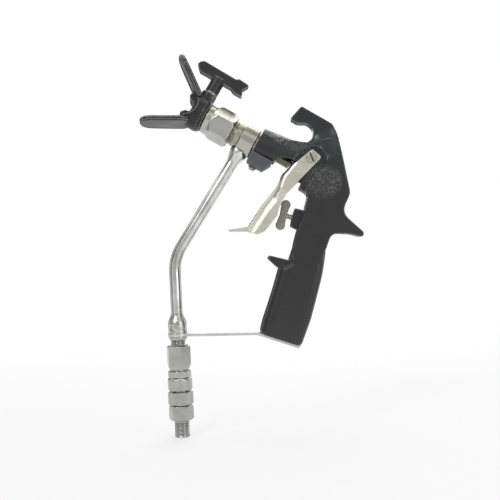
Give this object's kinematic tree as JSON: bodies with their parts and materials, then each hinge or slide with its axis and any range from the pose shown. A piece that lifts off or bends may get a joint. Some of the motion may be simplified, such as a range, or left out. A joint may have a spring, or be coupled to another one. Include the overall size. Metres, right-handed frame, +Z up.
{
  "type": "airless paint sprayer gun",
  "caption": "Hand-held airless spray gun: cast pistol grip with hanging hook, pull trigger with lock, reversible tip in a winged guard, and a side fluid tube with hose swivel.",
  "frame": {"origin": "middle of the hand inside the grip", "axes": "+Z up along the lower fluid tube and hose swivel, -X the way the gun sprays (its nozzle line rises 31.7 degrees towards -X), +Y across the gun to its left side seen from behind"},
  "size_m": [0.1885, 0.0373, 0.3321],
  "materials": {
    "black_paint": "satin black powder coat on cast aluminium",
    "black_plastic": "black glass-filled nylon",
    "block_metal": "blue-grey coated cast aluminium",
    "nickel": "satin nickel-plated steel",
    "chrome": "bright chrome-plated tube",
    "steel": "plain machined steel",
    "lock_metal": "olive-grey passivated steel",
    "seal": "off-white sealing plastic"
  },
  "bodies": {
    "gun": {"handle_body": "black_paint", "clamp_block": "block_metal", "clamp_screw": "steel", "fluid_housing": "nickel", "diffuser": "steel", "valve_seat": "steel", "packing": "seal", "packing_nut": "steel", "needle_spring": "steel", "pivot_bolt": "nickel", "pivot_nut": "nickel", "fluid_tube": "chrome", "tube_ferrule": "nickel", "tube_fitting": "nickel", "guard_strip": "steel", "strip_ring": "nickel", "strip_screw": "steel", "coupling_nut": "nickel", "coupling_seal": "seal", "swivel_stem": "nickel"},
    "trigger": {"trigger": "nickel"},
    "needle": {"needle": "steel", "pull_nut": "nickel", "jam_nut": "nickel"},
    "lock": {"lock_lever": "lock_metal", "lock_pin": "steel"},
    "guard": {"tip_guard": "black_plastic", "tip_seal": "steel", "tip_gasket": "seal"},
    "tip": {"tip_barrel": "nickel", "tip_handle": "black_plastic", "tip_orifice": "steel"},
    "nut": {"retaining_nut": "nickel"},
    "swivel": {"swivel_sleeve": "nickel", "swivel_seal": "seal", "swivel_body": "nickel", "inlet_nipple": "nickel"}
  },
  "joints": [
    {"name": "trigger_pull", "type": "hinge", "parent": "gun", "child": "trigger", "pos_m": [0.01695, 0, 0.1083], "axis": [0, -1, 0], "range_deg": [0, 12.5], "stiffness_Nm_per_rad": 2, "springref_deg": -28.65},
    {"name": "needle_stroke", "type": "slide", "parent": "gun", "child": "needle", "axis": [0.8508, 0, -0.5255], "range_m": [0, 0.003], "deforming": ["needle_spring"]},
    {"name": "lock_turn", "type": "hinge", "parent": "gun", "child": "lock", "pos_m": [-0.0093, 0, 0.0605], "axis": [0.9511, 0, -0.309], "range_deg": [-90, 0]},
    {"name": "guard_turn", "type": "hinge", "parent": "gun", "child": "guard", "pos_m": [-0.0723, 0, 0.1483], "axis": [0.8508, 0, -0.5255], "range_deg": [-90, 90]},
    {"name": "tip_turn", "type": "hinge", "parent": "guard", "child": "tip", "pos_m": [-0.07791, 0, 0.15177], "axis": [0.5216, 0.1219, 0.8445], "range_deg": [0, 180]},
    {"name": "nut_turn", "type": "hinge", "parent": "gun", "child": "nut", "pos_m": [-0.0723, 0, 0.1483], "axis": [0.8508, 0, -0.5255], "continuous": true},
    {"name": "swivel_turn", "type": "hinge", "parent": "gun", "child": "swivel", "pos_m": [-0.1056, 0, -0.09], "axis": [0, 0, 1], "continuous": true}
  ],
  "couplings": [
    {"joint": "needle_stroke", "follows": "trigger_pull", "m_per_rad": 0.0135}
  ]
}
